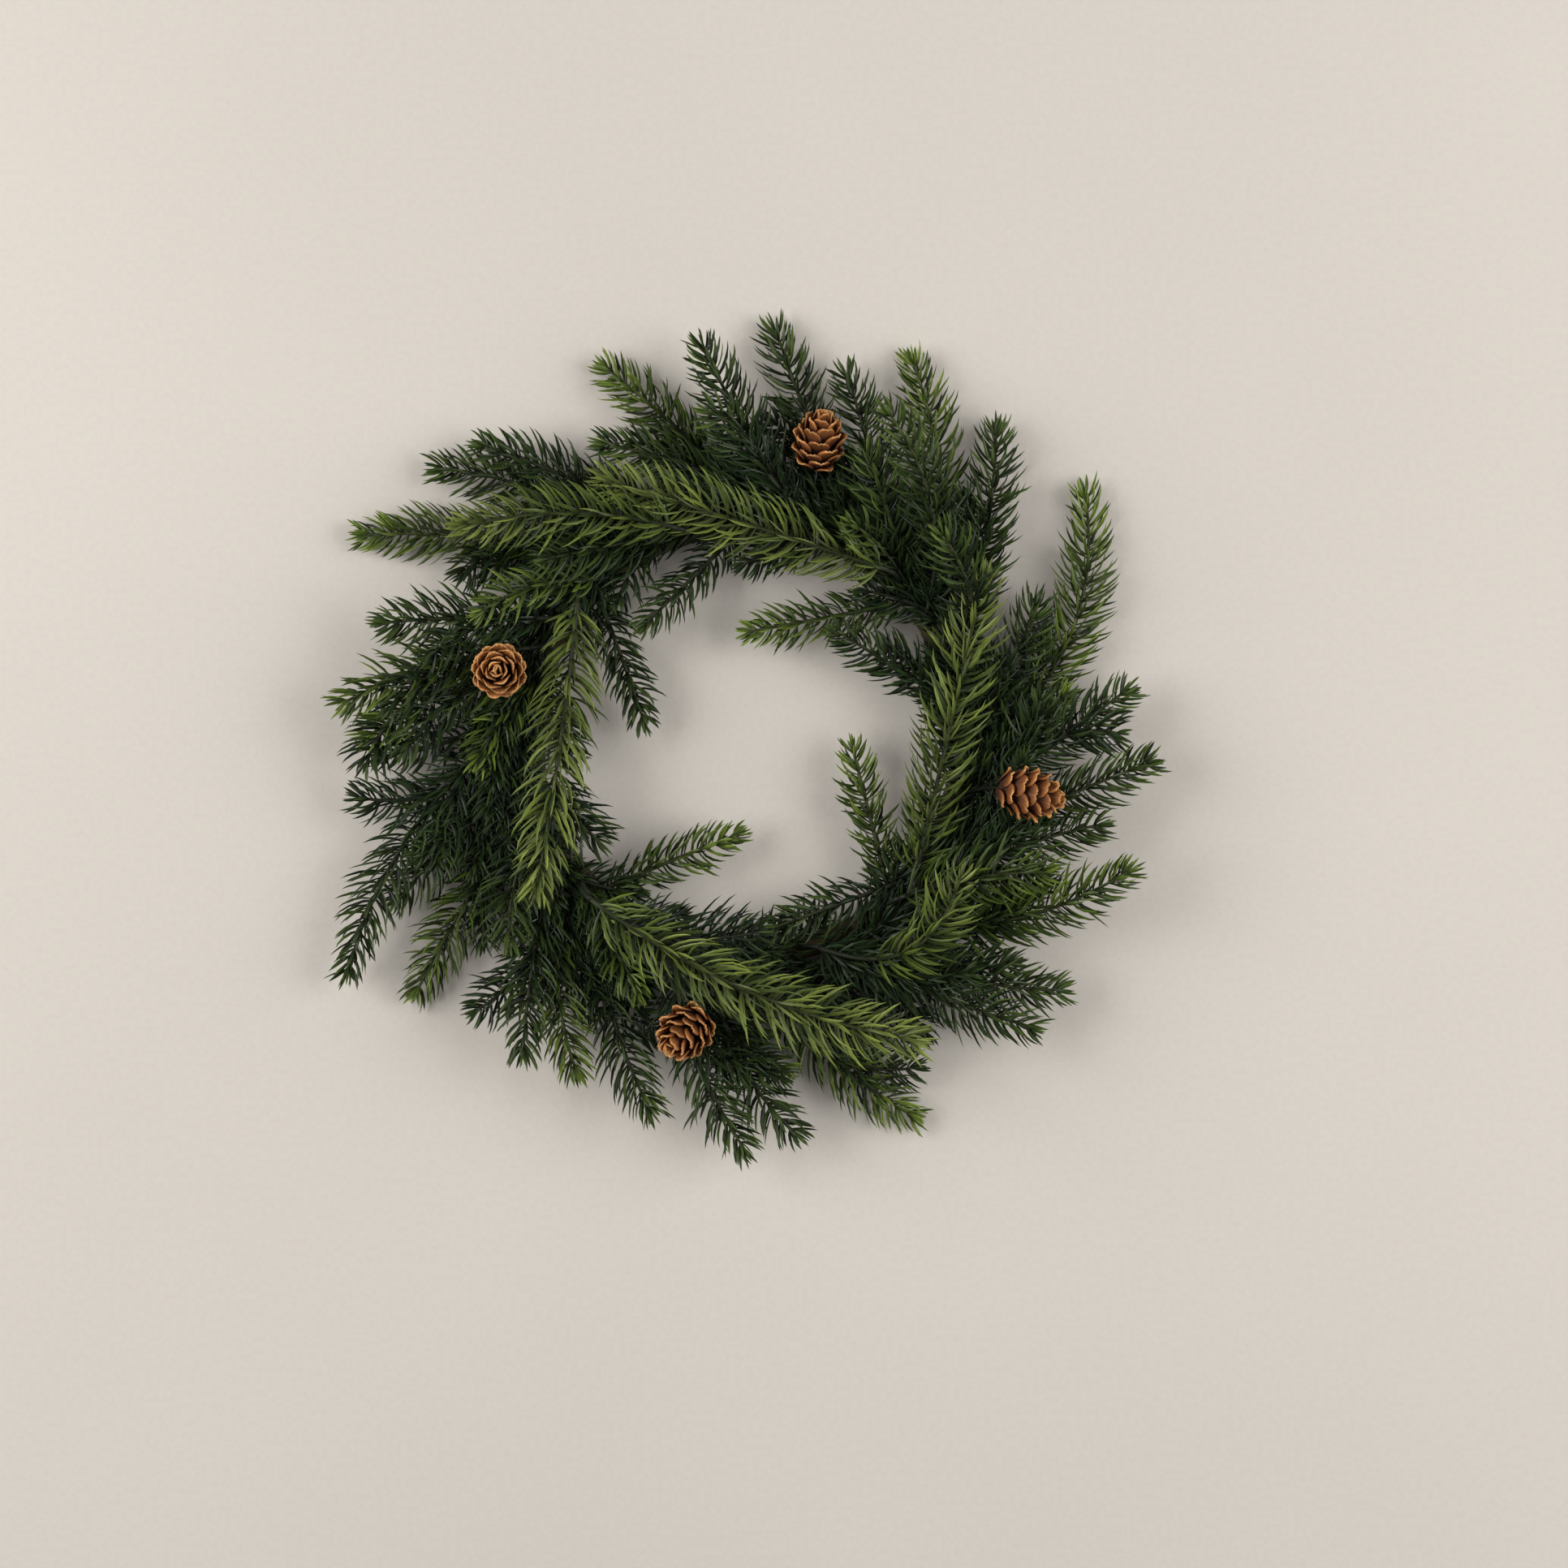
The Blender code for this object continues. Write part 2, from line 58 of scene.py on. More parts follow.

# Needles. Length is a factor on the comb's reach in the CAD. A needle is a row of
# four-sided rings, given by their places and by their share of the full width,
# that ends in a point. Painted highlight and shade belong to a ring's four corners,
# then the point: one flat edge is painted bright and the ridges are painted dark.
NEEDLE_WIDTH = 1.12
NEEDLE_THICK = 0.65
NEEDLE_LONG = 1.20
NEEDLE_STATIONS = (0.0, 0.28, 0.56, 0.82)
NEEDLE_PROFILE = (0.50, 0.95, 1.0, 0.60)
NEEDLE_RINGS = len(NEEDLE_STATIONS)
NEEDLE_PLACES = np.array([*NEEDLE_STATIONS, 1.0])
EDGE_HIGHLIGHT_PAINT = (1.0, 0.2, 0.5, 0.0)
POINT_HIGHLIGHT_PAINT = 0.6

# How far a needle's flat side turns from level.
FLAT_TURN = 0.15

# How needles differ from one another: shares of their width, length and youth; the
# sideways slope they have at the root and the one they gain towards the point; the
# twist in radians; the angle round the stem and the angles to it at root and point.
WIDTH_SPREAD = 0.14
LENGTH_SPREAD = 0.08
YOUTH_SPREAD = 0.08
LEAN_SPREAD = 0.14
SWAY_SPREAD = 0.22
TWIST_SPREAD = 0.45
TILT_SPREAD = 8.0
FIRST_SPREAD = 9.0
LAST_SPREAD = 13.0

# Needles that would pass through the table are flattened on to it: the height
# where that starts and how much it varies, what is left of a depth below it, and
# the lowest height of all.
FLOOR_AIR = 0.35
FLOOR_PLAY = 0.6
FLOOR_SQUEEZE = 0.06
FLOOR_LOWEST = 0.15

# Ranks round the stem: angle up from the side, needles a millimetre on each
# side, length share, angle to the stem at the needle's root and at its point,
# and the range of luck, a random tone; the ranks below the stem get only low
# numbers, which paints shade on them.
RANKS = (
    (6.0, 0.30, 1.05, 70.0, 24.0, (0.15, 1.0)),
    (34.0, 0.25, 0.98, 66.0, 22.0, (0.3, 1.0)),
    (68.0, 0.17, 0.72, 48.0, 18.0, (0.2, 0.9)),
    (-28.0, 0.30, 0.98, 66.0, 26.0, (0.0, 0.22)),
    (-62.0, 0.10, 0.60, 50.0, 26.0, (0.0, 0.1)),
)

# Along a shoot: needles start this far out from its middle line, at the foot they
# have this share of the full length, and over the last part they get shorter and
# lie closer to the stem. Youth rises from foot to tip by this power.
ROOT_OUT = 0.5
FOOT_LENGTH = 0.78
NARROW_FROM = 0.70
NARROW_LENGTH = 0.42
NARROW_LEAN = 0.30
YOUTH_POWER = 1.6

# The tuft at a shoot's tip: ranges of length, angles to the stem and luck.
TIP_NEEDLES = 7
TIP_LENGTHS = (0.38, 0.60)
TIP_FIRST = (6.0, 40.0)
TIP_LAST = (2.0, 18.0)
TIP_LUCK = (0.3, 1.0)

STEM_RADIUS = 1.0
STEM_TAPER = 0.45
STEM_SIDES = 6
STEM_STATIONS = 26
LEAD_STATIONS = 9

# Light: two softboxes aimed at the ring's middle (name, place in metres, watts).
SKY_STRENGTH = 0.20
LIGHT_COLOUR = (1.0, 0.985, 0.965)
LIGHT_SIZE = 1.2
LIGHTS = (
    ("left_softbox", (-1.3, 0.22, 0.92), 25.6),
    ("right_softbox", (1.3, 0.10, 0.92), 22.4),
)
FLOOR_HALF = 1.6

# The hoop and its winding of tape, as the CAD has them.
HOOP_RADIUS = 84.0
TAPE_RADIUS = 5.0
WRAP_PITCH_DEG = 4.2

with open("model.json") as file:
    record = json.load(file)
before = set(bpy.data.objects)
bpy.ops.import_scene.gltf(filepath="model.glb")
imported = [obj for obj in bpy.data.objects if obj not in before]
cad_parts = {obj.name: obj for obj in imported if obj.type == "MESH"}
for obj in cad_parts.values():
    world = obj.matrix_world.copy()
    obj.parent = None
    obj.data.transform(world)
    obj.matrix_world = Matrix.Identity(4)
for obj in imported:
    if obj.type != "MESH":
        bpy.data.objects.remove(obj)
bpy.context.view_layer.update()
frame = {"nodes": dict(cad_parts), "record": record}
nodes = frame["nodes"]


# ---------------------------------------------------------------- materials


class Shader:
    """A material's node tree, built by name."""

    def __init__(self, name, roughness, specular=0.5):
        self.material = bpy.data.materials.new(name)
        self.material.use_nodes = True
        self.tree = self.material.node_tree
        self.surface = self.tree.nodes["Principled BSDF"]
        self.surface.inputs["Roughness"].default_value = roughness
        self.surface.inputs["Specular IOR Level"].default_value = specular

    def node(self, kind, **values):
        made = self.tree.nodes.new("ShaderNode" + kind)
        for key, value in values.items():
            setattr(made, key, value)
        return made

    def link(self, out, into):
        self.tree.links.new(out, into)

    def value(self, name):
        return self.node("Attribute", attribute_name=name).outputs["Fac"]

    def noise(self, scale, detail=3.0, rough=0.55):
        coords = self.node("TexCoord")
        made = self.node("TexNoise")
        made.inputs["Scale"].default_value = scale
        made.inputs["Detail"].default_value = detail
        made.inputs["Roughness"].default_value = rough
        self.link(coords.outputs["Object"], made.inputs["Vector"])
        return made.outputs["Fac"]

    def ramp(self, fac, *stops):
        made = self.node("ValToRGB")
        band = made.color_ramp
        while len(band.elements) < len(stops):
            band.elements.new(0.5)
        for element, (place, colour) in zip(band.elements, stops):
            element.position = place
            element.color = (*colour, 1.0)
        self.link(fac, made.inputs["Fac"])
        return made.outputs["Color"]

    def mix(self, fac, one, two, blend="MIX"):
        made = self.node("Mix", data_type="RGBA", blend_type=blend)
        fac_in, one_in, two_in = made.inputs[0], made.inputs[6], made.inputs[7]
        for socket, given in ((fac_in, fac), (one_in, one), (two_in, two)):
            if hasattr(given, "is_linked"):
                self.link(given, socket)
            elif isinstance(given, tuple):
                socket.default_value = (*given, 1.0)
            else:
                socket.default_value = given
        return made.outputs[2]

    def maths(self, operation, one, two):
        made = self.node("Math", operation=operation, use_clamp=True)
        for socket, given in zip(made.inputs, (one, two)):
            if hasattr(given, "is_linked"):
                self.link(given, socket)
            else:
                socket.default_value = given
        return made.outputs[0]

    def colour(self, out):
        self.link(out, self.surface.inputs["Base Color"])

    def rough(self, fac, low, high):
        made = self.node("MapRange")
        made.inputs["To Min"].default_value = low
        made.inputs["To Max"].default_value = high
        self.link(fac, made.inputs["Value"])
        self.link(made.outputs["Result"], self.surface.inputs["Roughness"])

    def bump(self, height, strength, distance):
        made = self.node("Bump")
        made.inputs["Strength"].default_value = strength
        made.inputs["Distance"].default_value = distance * MM
        self.link(height, made.inputs["Height"])
        self.link(made.outputs["Normal"], self.surface.inputs["Normal"])


def srgb(red, green, blue):
    """Linear colour from screen values of 0 to 255."""
    made = []
    for c in (red, green, blue):
        c = c / 255.0
        made.append(c / 12.92 if c <= 0.04045 else ((c + 0.055) / 1.055) ** 2.4)
    return tuple(made)


def grey(level):
    return (level, level, level)


def needle_material(name, deep, root, body, young):
    """Moulded needles: dark at the root, partly their own colour and partly painted shade by the
    stem; paler at the point and on young wood; with painted highlight and shade on each needle and
    painted shade on the ranks under the stem.
    """
    made = Shader(name, 0.4, 0.2)
    along = made.value("along")
    youth = made.value("youth")
    luck = made.value("luck")
    # Darker at the root: partly the needles' own colour, partly painted shade where they crowd at
    # the stem.
    base = made.ramp(along, (0.0, root), (0.5, body), (1.0, body))
    grown = made.maths("MULTIPLY", made.ramp(along, (0.0, grey(0.25)), (0.75, grey(1.0))), youth)
    tinted = made.mix(grown, base, young)
    # A random tone for each needle; the low numbers of the ranks under the stem make it painted
    # shade.
    tone_and_shade = made.ramp(
        luck,
        (0.0, (0.16, 0.21, 0.24)),
        (0.5, (0.80, 0.84, 0.86)),
        (1.0, (1.75, 1.70, 1.55)),
    )
    # Painted highlight along one flat edge of each needle and painted shade on its ridges.
    highlight_ramp = made.ramp(
        made.value("edge"),
        (0.0, grey(0.55)),
        (0.5, grey(0.9)),
        (1.0, (1.7, 1.65, 1.6)),
    )
    highlighted = made.mix(1.0, tinted, highlight_ramp, "MULTIPLY")
    varied = made.mix(1.0, highlighted, tone_and_shade, "MULTIPLY")
    grain = made.noise(900.0, 2.0)
    made.colour(made.mix(made.maths("MULTIPLY", grain, 0.35), varied, deep))
    made.rough(grain, 0.28, 0.5)
    made.bump(grain, 0.25, 0.05)
    return made.material


def stem_material():
    """Moulded stem, brown-green with darker collars."""
    made = Shader("sprig_stem", 0.6, 0.35)
    ring = made.noise(700.0, 4.0, 0.6)
    old = made.ramp(ring, (0.3, srgb(9, 12, 5)), (0.6, srgb(20, 26, 10)), (0.8, srgb(34, 35, 16)))
    new = made.ramp(ring, (0.3, srgb(56, 68, 26)), (0.7, srgb(92, 102, 46)))
    made.colour(made.mix(made.value("youth"), old, new))
    made.bump(ring, 0.4, 0.15)
    return made.material


def tape_material():
    """Waxed crepe floral tape, dark, with fine lengthwise crinkles."""
    made = Shader("crepe_tape", 0.78, 0.3)
    crinkle = made.noise(1400.0, 5.0, 0.7)
    patch = made.noise(160.0, 2.0)
    base = made.ramp(patch, (0.3, srgb(36, 33, 20)), (0.7, srgb(66, 60, 34)))
    made.colour(made.mix(made.maths("MULTIPLY", crinkle, 0.6), base, srgb(92, 84, 52)))
    made.bump(crinkle, 0.6, 0.25)
    return made.material


def wire_material():
    """Green enamel on the hoop and the cones' wires."""
    made = Shader("enamelled_wire", 0.6, 0.12)
    scuff = made.noise(420.0, 4.0, 0.65)
    made.colour(made.ramp(scuff, (0.35, srgb(10, 15, 7)), (0.7, srgb(24, 32, 15))))
    made.rough(scuff, 0.5, 0.75)
    made.bump(scuff, 0.2, 0.05)
    return made.material


def scale_material():
    """Dry cone scales: dark towards the foot, partly their own colour and partly painted shade in
    the crevices; warm brown faces; paler rims.
    """
    made = Shader("cone_scale", 0.62, 0.4)
    grain = made.noise(650.0, 5.0, 0.65)
    streak = made.node("TexNoise", noise_dimensions="1D")
    streak.inputs["Scale"].default_value = 14.0
    streak.inputs["Detail"].default_value = 3.0
    made.link(made.value("youth"), streak.inputs["W"])
    # Dark towards each scale's foot: partly the scale's own colour, partly painted shade in the
    # crevices between scales.
    base = made.ramp(
        made.value("along"),
        (0.0, srgb(26, 10, 5)),
        (0.35, srgb(62, 30, 12)),
        (0.68, srgb(128, 76, 33)),
        (0.92, srgb(182, 119, 60)),
        (1.0, srgb(228, 172, 108)),
    )
    shade = made.ramp(made.value("luck"), (0.0, (0.72, 0.68, 0.64)), (1.0, (1.2, 1.16, 1.12)))
    varied = made.mix(1.0, base, shade, "MULTIPLY")
    grooved = made.ramp(streak.outputs["Fac"], (0.35, (0.55, 0.5, 0.46)), (0.62, grey(1.1)))
    varied = made.mix(0.8, varied, grooved, "MULTIPLY")
    made.colour(made.mix(made.maths("MULTIPLY", grain, 0.35), varied, srgb(86, 48, 24)))
    made.rough(grain, 0.5, 0.8)
    made.bump(made.maths("ADD", grain, streak.outputs["Fac"]), 0.6, 0.3)
    return made.material


def floor_material():
    """Pale warm plaster."""
    made = Shader("pale_plaster", 0.9, 0.2)
    cloud = made.noise(3.0, 4.0, 0.5)
    tooth = made.noise(420.0, 3.0, 0.6)
    base = made.ramp(cloud, (0.3, srgb(205, 199, 191)), (0.7, srgb(210, 204, 196)))
    speck = made.ramp(tooth, (0.35, grey(0.965)), (0.6, grey(1.0)))
    made.colour(made.mix(1.0, base, speck, "MULTIPLY"))
    made.bump(tooth, 0.15, 0.2)
    return made.material


# ------------------------------------------------------------ mesh building


class Bundle:
    """Collects many small closed bodies into one mesh with named values."""

    def __init__(self):
        self.points = []
        self.quads = []
        self.tris = []
        self.values = {"along": [], "luck": [], "youth": [], "edge": []}
        self.slots = ([], [])
        self.smooth = ([], [])
        self.count = 0

    def add(self, points, quads, tris, slot=0, smooth=True, **values):
        """Add one body; a value is one number for it or one for each point."""
        points = np.asarray(points, float).reshape(-1, 3)
        self.points.append(points)
        for faces, kept, part in ((quads, self.quads, 0), (tris, self.tris, 1)):
            if len(faces):
                kept.append(np.asarray(faces) + self.count)
                self.slots[part].append(np.full(len(faces), slot))
                self.smooth[part].append(np.full(len(faces), smooth))
        for key, kept in self.values.items():
            given = np.broadcast_to(np.asarray(values.get(key, 0.0), float), len(points))
            kept.append(given)
        self.count += len(points)

    def build(self, name, materials):
        """Make the object, in metres, with its material slots and values."""
        points = np.concatenate(self.points) * MM
        quads = np.concatenate(self.quads) if self.quads else np.zeros((0, 4), int)
        tris = np.concatenate(self.tris) if self.tris else np.zeros((0, 3), int)
        mesh = bpy.data.meshes.new(name)
        mesh.vertices.add(len(points))
        mesh.vertices.foreach_set("co", points.astype(np.float32).ravel())
        corners = np.concatenate([quads.ravel(), tris.ravel()])
        mesh.loops.add(len(corners))
        mesh.loops.foreach_set("vertex_index", corners.astype(np.int32))
        sizes = np.concatenate([np.full(len(quads), 4), np.full(len(tris), 3)])
        starts = np.concatenate([[0], np.cumsum(sizes)[:-1]])
        mesh.polygons.add(len(sizes))
        mesh.polygons.foreach_set("loop_start", starts.astype(np.int32))
        slots = np.concatenate([*self.slots[0], *self.slots[1]])
        mesh.polygons.foreach_set("material_index", slots.astype(np.int32))
        smooth = np.concatenate([*self.smooth[0], *self.smooth[1]])
        mesh.polygons.foreach_set("use_smooth", smooth)
        mesh.update(calc_edges=True)
        for key, kept in self.values.items():
            layer = mesh.attributes.new(key, "FLOAT", "POINT")
            layer.data.foreach_set("value", np.concatenate(kept).astype(np.float32))
        for material in materials:
            mesh.materials.append(material)
        made = bpy.data.objects.new(name, mesh)
        bpy.context.scene.collection.objects.link(made)
        return made


def unit(vectors):
    """Vectors of length one in the same directions."""
    vectors = np.asarray(vectors, float)
    return vectors / np.maximum(np.linalg.norm(vectors, axis=-1, keepdims=True), 1e-9)


def tube_faces(rings, sides, flip=False):
    """Quads between a tube's rings and fans to the two end points after them."""
    quads = []
    for r in range(rings - 1):
        for k in range(sides):
            n = (k + 1) % sides
            quads.append((r * sides + k, r * sides + n, (r + 1) * sides + n, (r + 1) * sides + k))
    count = rings * sides
    last = count - sides
    tris = []
    for k in range(sides):
        n = (k + 1) % sides
        tris.append((count, n, k))
        tris.append((count + 1, last + k, last + n))
    quads = np.array(quads)
    tris = np.array(tris)
    if flip:
        return quads[:, (0, 3, 2, 1)], tris[:, (0, 2, 1)]
    return quads, tris


def tube(path, radii, sides):
    """Closed tube along a path: its points, quads and triangles."""
    along = unit(np.gradient(path, axis=0))
    helper = UP
    if abs(along[:, 2]).mean() > 0.8:
        helper = np.array([1.0, 0.0, 0.0])
    one = unit(np.cross(along, helper))
    two = np.cross(one, along)
    turns = np.linspace(0.0, 2 * np.pi, sides, endpoint=False)
    radii = np.broadcast_to(radii, len(path))[:, None, None]
    ring = np.cos(turns)[None, :, None] * one[:, None] + np.sin(turns)[None, :, None] * two[:, None]
    points = (path[:, None] + ring * radii).reshape(-1, 3)
    quads, tris = tube_faces(len(path), sides)
    return np.vstack([points, path[0], path[-1]]), quads, tris


def curve(start, bend, end, count):
    """Points of a curve that leaves its start and meets its end towards the bend."""
    t = np.linspace(0.0, 1.0, count)[:, None]
    return (1 - t) ** 2 * start + 2 * t * (1 - t) * bend + t**2 * end


def needle_faces():
    """Faces of one needle: four-sided rings, a flat root and a sharp point."""
    quads = np.vstack([(3, 2, 1, 0), tube_faces(NEEDLE_RINGS, 4)[0]])
    last = 4 * (NEEDLE_RINGS - 1)
    tris = [(last + k, last + (k + 1) % 4, 4 * NEEDLE_RINGS) for k in range(4)]
    return quads, np.array(tris)


NEEDLE_QUADS, NEEDLE_TRIS = needle_faces()


def needle_paths(rng, roots, ahead, outward, lengths, first, last):
    """Curved needles' ring centres and points, and their rings' two directions."""
    count = len(roots)
    across = unit(np.cross(ahead, outward))
    steps = np.diff(NEEDLE_PLACES, prepend=0.0)
    middle = NEEDLE_PLACES - steps / 2
    angle = np.radians(first[:, None] + (last - first)[:, None] * middle[None, :])
    lean = rng.normal(0.0, LEAN_SPREAD, count)[:, None]
    sway = lean + rng.normal(0.0, SWAY_SPREAD, count)[:, None] * middle
    heading = (
        np.cos(angle)[..., None] * ahead[:, None]
        + np.sin(angle)[..., None] * outward[:, None]
        + sway[..., None] * across[:, None]
    )
    heading = unit(heading)
    walk = np.cumsum(heading * (steps * lengths[:, None])[..., None], axis=1)
    level = np.cross(np.broadcast_to(UP, heading.shape), heading)
    flat = unit(level + FLAT_TURN * across[:, None])
    thick = unit(np.cross(heading, flat))
    twist = rng.normal(0.0, TWIST_SPREAD, count)[:, None, None]
    wide = np.cos(twist) * flat + np.sin(twist) * thick
    deep = np.cos(twist) * thick - np.sin(twist) * flat
    return roots[:, None] + walk, wide, deep


def needle_corners(path, wide, deep, width):
    """Four corners round every ring of the needles, then their points."""
    profile = np.array(NEEDLE_PROFILE)
    centre = path[:, :NEEDLE_RINGS]
    wide = wide[:, :NEEDLE_RINGS] * (NEEDLE_WIDTH * width / 2 * profile[None, :, None])
    deep = deep[:, :NEEDLE_RINGS] * (NEEDLE_THICK * width / 2 * profile[None, :, None])
    corners = np.stack([centre + wide, centre + deep, centre - wide, centre - deep], axis=2)
    corners = corners.reshape(len(path), NEEDLE_RINGS * 4, 3)
    return np.concatenate([corners, path[:, -1:]], axis=1)


def flatten_on_table(points, rng):
    low = FLOOR_AIR + FLOOR_PLAY * rng.random(len(points))[:, None]
    deep = points[..., 2] < low
    squeezed = low + FLOOR_SQUEEZE * (points[..., 2] - low)
    points[..., 2] = np.where(deep, np.maximum(squeezed, FLOOR_LOWEST), points[..., 2])


def add_needles(bundle, rng, roots, ahead, outward, lengths, first, last, youth, luck, slot):
    """Curved flat needles. Angles are to the stem, at the root and the point."""
    count = len(roots)
    width = rng.normal(1.0, WIDTH_SPREAD, count)[:, None, None]
    path, wide, deep = needle_paths(rng, roots, ahead, outward, lengths, first, last)
    points = needle_corners(path, wide, deep, width)
    flatten_on_table(points, rng)
    per = NEEDLE_RINGS * 4 + 1
    offsets = (np.arange(count) * per)[:, None, None]
    along = np.append(np.repeat(NEEDLE_STATIONS, 4), 1.0)
    bundle.add(
        points,
        (NEEDLE_QUADS[None] + offsets).reshape(-1, 4),
        (NEEDLE_TRIS[None] + offsets).reshape(-1, 3),
        slot=slot,
        smooth=False,
        along=np.tile(along, count),
        # Painted highlight and painted shade, one value for each corner of a ring.
        edge=np.tile([*EDGE_HIGHLIGHT_PAINT * NEEDLE_RINGS, POINT_HIGHLIGHT_PAINT], count),
        luck=np.repeat(rng.uniform(*luck, count), per),
        youth=np.repeat(youth, per),
    )


# ------------------------------------------------------------------ sprigs

# Slots of a sprig's piece: its own palette, stem, dark palette.
OWN, STEM, DARK = range(3)

# The needles' palettes by material slot: a name, then screen colours of specks, of
# a needle's root, dark partly as painted shade by the stem, of its body and of young growth.
PALETTES = {
    "needles_dark": ("spruce_dark", (3, 6, 3), (9, 14, 7), (31, 48, 25), (90, 110, 46)),
    "needles_mid": ("spruce_mid", (4, 7, 2), (17, 25, 9), (48, 66, 22), (113, 133, 55)),
    "needles_light": ("spruce_light", (7, 10, 3), (34, 45, 16), (73, 89, 33), (138, 151, 78)),
}

# Side shoots seen in the photograph that share a longer sprig's wire: share of
# the parent's length, length, turn from the parent's heading, rise, and youth of
# their tip.
SHOOTS = (
    ("sprig_low_03", 0.33, 27.0, 19.0, 5.0, 0.8),
    ("sprig_low_08", 0.35, 26.0, 37.0, 4.0, 0.2),
    ("sprig_low_11", 0.80, 20.0, 28.0, 3.0, 0.3),
    ("sprig_low_12", 0.35, 56.0, -32.0, -4.0, 0.2),
    ("sprig_low_13", 0.30, 34.0, -42.0, 2.0, 0.1),
    ("sprig_low_14", 0.24, 33.0, -8.0, 9.0, 0.2),
    ("sprig_low_16", 0.42, 34.0, -32.0, 4.0, 0.2),
    ("sprig_low_17", 0.06, 34.0, 31.0, 6.0, 0.1),
    ("sprig_low_22", 0.0, 50.0, 53.0, 4.0, 0.1),
    ("sprig_low_22", 0.12, 58.0, 43.0, 8.0, 0.1),
    ("sprig_low_22", 0.50, 34.0, 33.0, 4.0, 0.2),
    ("sprig_low_23", 0.10, 36.0, -25.0, -4.0, 0.1),
    ("sprig_low_25", 0.33, 24.0, 21.0, 8.0, 0.9),
    ("sprig_low_28", 0.52, 24.0, -27.0, 4.0, 0.2),
    ("sprig_mid_04", 0.0, 34.0, 28.0, 17.0, 0.95),
    ("sprig_top_01", 0.0, 30.0, 4.0, 0.0, 0.1),
    ("sprig_top_01", 0.03, 34.0, -12.0, -8.0, 0.1),
    ("sprig_top_02", 0.10, 52.0, 29.0, -12.0, 0.1),
    ("sprig_top_03", 0.62, 28.0, 43.0, -4.0, 0.3),
    ("sprig_top_06", 0.85, 34.0, 35.0, 15.0, 1.0),
)

# Share of a stem without needles at its foot. One top sprig comes out from under
# its neighbours.
BARE_SHARE = 0.02
BARE = {"sprig_top_01": 0.26}

# Wire between the tape and a sprig's root.
LEAD_MM = 9.0

# Side shoots: bend, and reach as a share of the parent's.
FORK_BEND = 0.08
FORK_REACH = 0.9

# Mantles: dark shoots along the hoop that hide its winding. Every sprig has one
# that leans outward; the low ones and two more have another that leans inward.
MANTLE_HEIGHT = 10.5
MANTLE_LIFTS = (-1.0, 3.0)
MANTLE_RISES = (0.0, 5.0)
MANTLE_LENGTH = 34.0
MANTLE_REACH = 11.0
MANTLE_BEND = 0.05
MANTLE_LEANS = (16.0, 40.0)
OUTER_LEAN = -12.0
INNER_MANTLES = ("sprig_mid_01", "sprig_mid_02")
MANTLE_YOUTH = 0.15

# Fillers: one dark side shoot on each sprig of the lowest layer.
FILL_SHARES = (0.10, 0.26)
FILL_LENGTHS = (32.0, 42.0)
FILL_TURNS = (18.0, 34.0)
FILL_RISE = 3.0
FILL_YOUTH = 0.25

# Youth of the needles at the foot and at the tip of a sprig, by material slot, and
# the range of factors on the tip's.
YOUTH = {"needles_dark": (0.0, 0.50), "needles_mid": (0.05, 0.80), "needles_light": (0.30, 0.80)}
YOUTH_PLAY = (0.8, 1.15)

# Sprigs whose looks differ from their slot's: palette, youth at foot and tip.
TONES = {
    "sprig_low_21": ("needles_mid", 0.10, 0.80),
    "sprig_low_27": ("needles_dark", 0.10, 0.60),
    "sprig_low_30": ("needles_mid", 0.45, 0.80),
    "sprig_low_31": ("needles_dark", 0.20, 0.60),
    "sprig_mid_03": ("needles_dark", 0.0, 0.90),
    "sprig_mid_04": ("needles_dark", 0.10, 0.80),
    "sprig_mid_05": ("needles_mid", 0.10, 0.80),
    "sprig_mid_09": ("needles_dark", 0.10, 0.45),
    "sprig_mid_10": ("needles_dark", 0.0, 0.80),
    "sprig_mid_11": ("needles_mid", 0.10, 0.80),
    "sprig_top_01": ("needles_light", 0.05, 0.65),
    "sprig_top_04": ("needles_light", 0.10, 0.60),
    "sprig_top_06": ("needles_light", 0.10, 0.80),
}


def node_points(name):
    """The different points of a CAD node."""
    mesh = nodes[name].data
    points = np.zeros(len(mesh.vertices) * 3)
    mesh.vertices.foreach_get("co", points)
    points = points.reshape(-1, 3) / MM
    return np.unique(np.round(points, 3), axis=0)


